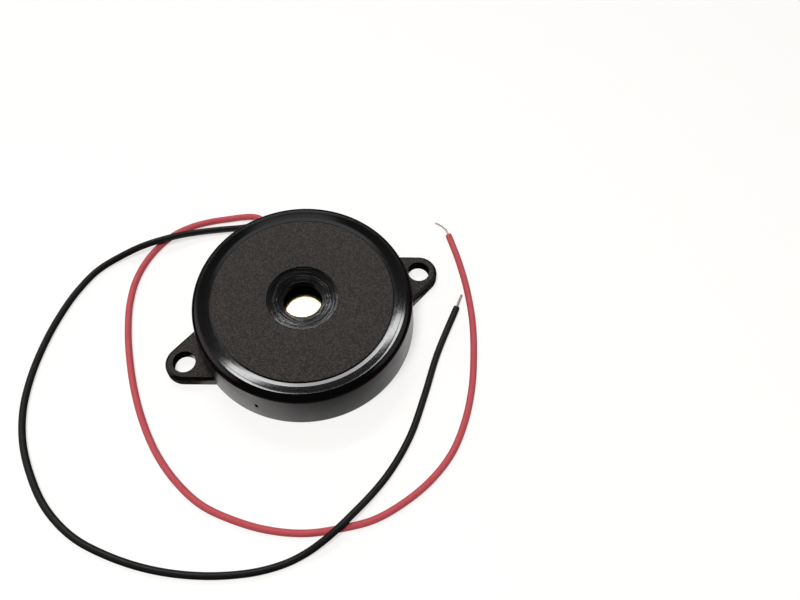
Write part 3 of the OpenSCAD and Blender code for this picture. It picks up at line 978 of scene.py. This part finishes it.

# %% [markdown]
# ## Floor and light
#
# The buzzer lies on a white table under a broad ceiling lamp. Polished black plastic shows
# little but what it mirrors, so the room matters more than the lamp. A skylight with a
# sloping top stands behind the buzzer, with a small lantern and a pale patch of ceiling
# above it. There is a faint window on each side, and the room behind the camera is dark. A
# slope that faces the skylight is then bright and a slope that faces the camera is black.
#
# The table glows a little, so that it is a white background that keeps the soft shadow. In
# reflections it carries painted shade: it is darker in front of the case, where the case stands
# between the skylight and the table, darker out past the ears, and fades to dark further away.

# %% Floor
def floor_material():
    """White board with a little glow of its own, and painted shade round the case where it is mirrored."""
    material = bpy.data.materials.new("white_table")
    material.use_nodes = True
    tree = material.node_tree
    tree.nodes.clear()
    glow = add(tree, "ShaderNodeEmission", Color=linear("#FFFEFC"), Strength=1.3).outputs[0]
    rays = add(tree, "ShaderNodeLightPath").outputs
    place = millimetres(tree)
    sides = add(tree, "ShaderNodeSeparateXYZ", Vector=place).outputs
    under_ears = math_node(tree, "ABSOLUTE", sides["X"])
    distance = add(tree, "ShaderNodeVectorMath", {"operation": "LENGTH"}, _0=place).outputs["Value"]
    # Painted shade for reflections: darker in front of the case, out past the ears and beyond 33 mm
    painted_shade_map = chain(tree, "MULTIPLY", vary(tree, sides["Y"], 0.16, 1, start=-25, stop=-14),
                vary(tree, distance, 1, 0, start=25, stop=33),
                vary(tree, under_ears, 1, 0, start=22.3, stop=23.5))
    # Only glossy rays see the painted shade; #1C1B1A is its painted dark colour, #F6F5F3 the board's white
    shade = math_node(tree, "MULTIPLY_ADD", rays["Is Glossy Ray"], math_node(tree, "SUBTRACT", painted_shade_map, 1), 1)
    paper_with_painted_shade = blend_colours(tree, shade, "#1C1B1A", "#F6F5F3")
    board = add(tree, "ShaderNodeBsdfDiffuse", Color=paper_with_painted_shade).outputs[0]
    seen = chain(tree, "MAXIMUM", rays["Is Camera Ray"], rays["Is Transmission Ray"],
                 rays["Is Glossy Ray"])
    share = chain(tree, "MULTIPLY", seen, 0.5, shade)
    mixed = add(tree, "ShaderNodeMixShader", _0=share, _1=board, _2=glow).outputs[0]
    add(tree, "ShaderNodeOutputMaterial", Surface=mixed)
    return material


floor_mesh = bpy.data.meshes.new("floor")
reach = 2.0
floor_mesh.from_pydata([(-reach, -reach, 0), (reach, -reach, 0), (reach, reach, 0), (-reach, reach, 0)],
                       [], [(0, 1, 2, 3)])
floor_mesh.materials.append(floor_material())
floor = bpy.data.objects.new("floor", floor_mesh)
scene.collection.objects.link(floor)


# %% Lamps and room
def direction(azimuth, elevation):
    """Unit vector towards a bearing, in degrees from +X and above the horizon."""
    a, e = math.radians(azimuth), math.radians(elevation)
    return Vector((math.cos(a) * math.cos(e), math.sin(a) * math.cos(e), math.sin(e)))


def disc_lamp(name, azimuth, elevation, across, radiance, distance=0.6):
    """A round lamp that is so many degrees across and has the given radiance."""
    lamp = bpy.data.lights.new(name, "AREA")
    lamp.shape = "DISK"
    lamp.size = 2 * distance * math.tan(math.radians(across / 2))
    lamp.energy = radiance * math.pi * math.pi * (lamp.size / 2) ** 2
    spot = bpy.data.objects.new(name, lamp)
    spot.location = direction(azimuth, elevation) * distance
    spot.rotation_mode = "QUATERNION"
    spot.rotation_quaternion = spot.location.to_track_quat("Z", "Y")
    scene.collection.objects.link(spot)
    return spot


# A bare lamp would put a hard white spot on every polished edge, so reflections leave it out
ceiling_lamp = disc_lamp("ceiling_lamp", 200, 77, across=15, radiance=32)
ceiling_lamp.visible_glossy = False

world = bpy.data.worlds.new("room")
scene.world = world
world.use_nodes = True
tree = world.node_tree
tree.nodes.clear()
towards = add(tree, "ShaderNodeTexCoord").outputs["Generated"]


def along(axis):
    """How far the looked-at direction goes along an axis, as a cosine."""
    return add(tree, "ShaderNodeVectorMath", {"operation": "DOT_PRODUCT"}, _0=towards,
               _1=axis).outputs["Value"]


def soft_step(value, start, stop):
    """Rises smoothly from 0 at start to 1 at stop."""
    return add(tree, "ShaderNodeMapRange", {"interpolation_type": "SMOOTHSTEP"}, Value=value,
               From_Min=start, From_Max=stop, To_Min=0.0, To_Max=1.0).outputs[0]


# The skylight, drawn on a plane that faces it: x runs along its sill, y runs up
forward = direction(78, 50)
sill = direction(168, 0)
upward = forward.cross(sill)
depth = math_node(tree, "MAXIMUM", along(forward), 0.2)
across = math_node(tree, "DIVIDE", along(sill), depth)
x = math_node(tree, "ABSOLUTE", across)
y = math_node(tree, "DIVIDE", along(upward), depth)
gable = math_node(tree, "MULTIPLY_ADD", x, 0.6, math_node(tree, "MULTIPLY_ADD", across, -0.15, y))
ledge = math_node(tree, "MULTIPLY_ADD", across, -0.16, y)
side_panes = math_node(tree, "MULTIPLY_ADD", soft_step(x, 0.02, 0.06), 7.0, 7.0)
skylight = chain(tree, "MULTIPLY", soft_step(gable, 0.175, 0.15), soft_step(ledge, -0.015, 0.02),
                 side_panes)
lantern = chain(tree, "MULTIPLY", soft_step(x, 0.055, 0.035), soft_step(y, 0.08, 0.12),
                soft_step(y, 0.29, 0.25), 2.8)
glare = chain(tree, "MULTIPLY", soft_step(x, 0.13, 0.06), soft_step(y, 0.24, 0.28),
              soft_step(y, 0.62, 0.4), 0.8)
far_wall = math_node(tree, "MULTIPLY", soft_step(along(direction(78, 0)), 0.0, 0.9), 0.22)
left_window = math_node(tree, "MULTIPLY", soft_step(along(direction(158, 20)), 0.82, 0.97), 0.6)
right_window = math_node(tree, "MULTIPLY", soft_step(along(direction(335, 28)), 0.86, 0.98), 0.4)
level = chain(tree, "ADD", skylight, lantern, glare, far_wall, left_window, right_window, 0.02)
room = add(tree, "ShaderNodeBackground", Color=linear("#FFFFFF"), Strength=level).outputs[0]
backdrop = add(tree, "ShaderNodeBackground", Color=linear("#FFFFFF"), Strength=1.0).outputs[0]
rays = add(tree, "ShaderNodeLightPath").outputs
seen = math_node(tree, "MAXIMUM", rays["Is Camera Ray"], rays["Is Transmission Ray"])
picked = add(tree, "ShaderNodeMixShader", _0=seen, _1=room, _2=backdrop).outputs[0]
add(tree, "ShaderNodeOutputWorld", Surface=picked)
scene.view_settings.view_transform = "Standard"
print("lamp:", ceiling_lamp.name, "and a room of", len(tree.nodes), "nodes")
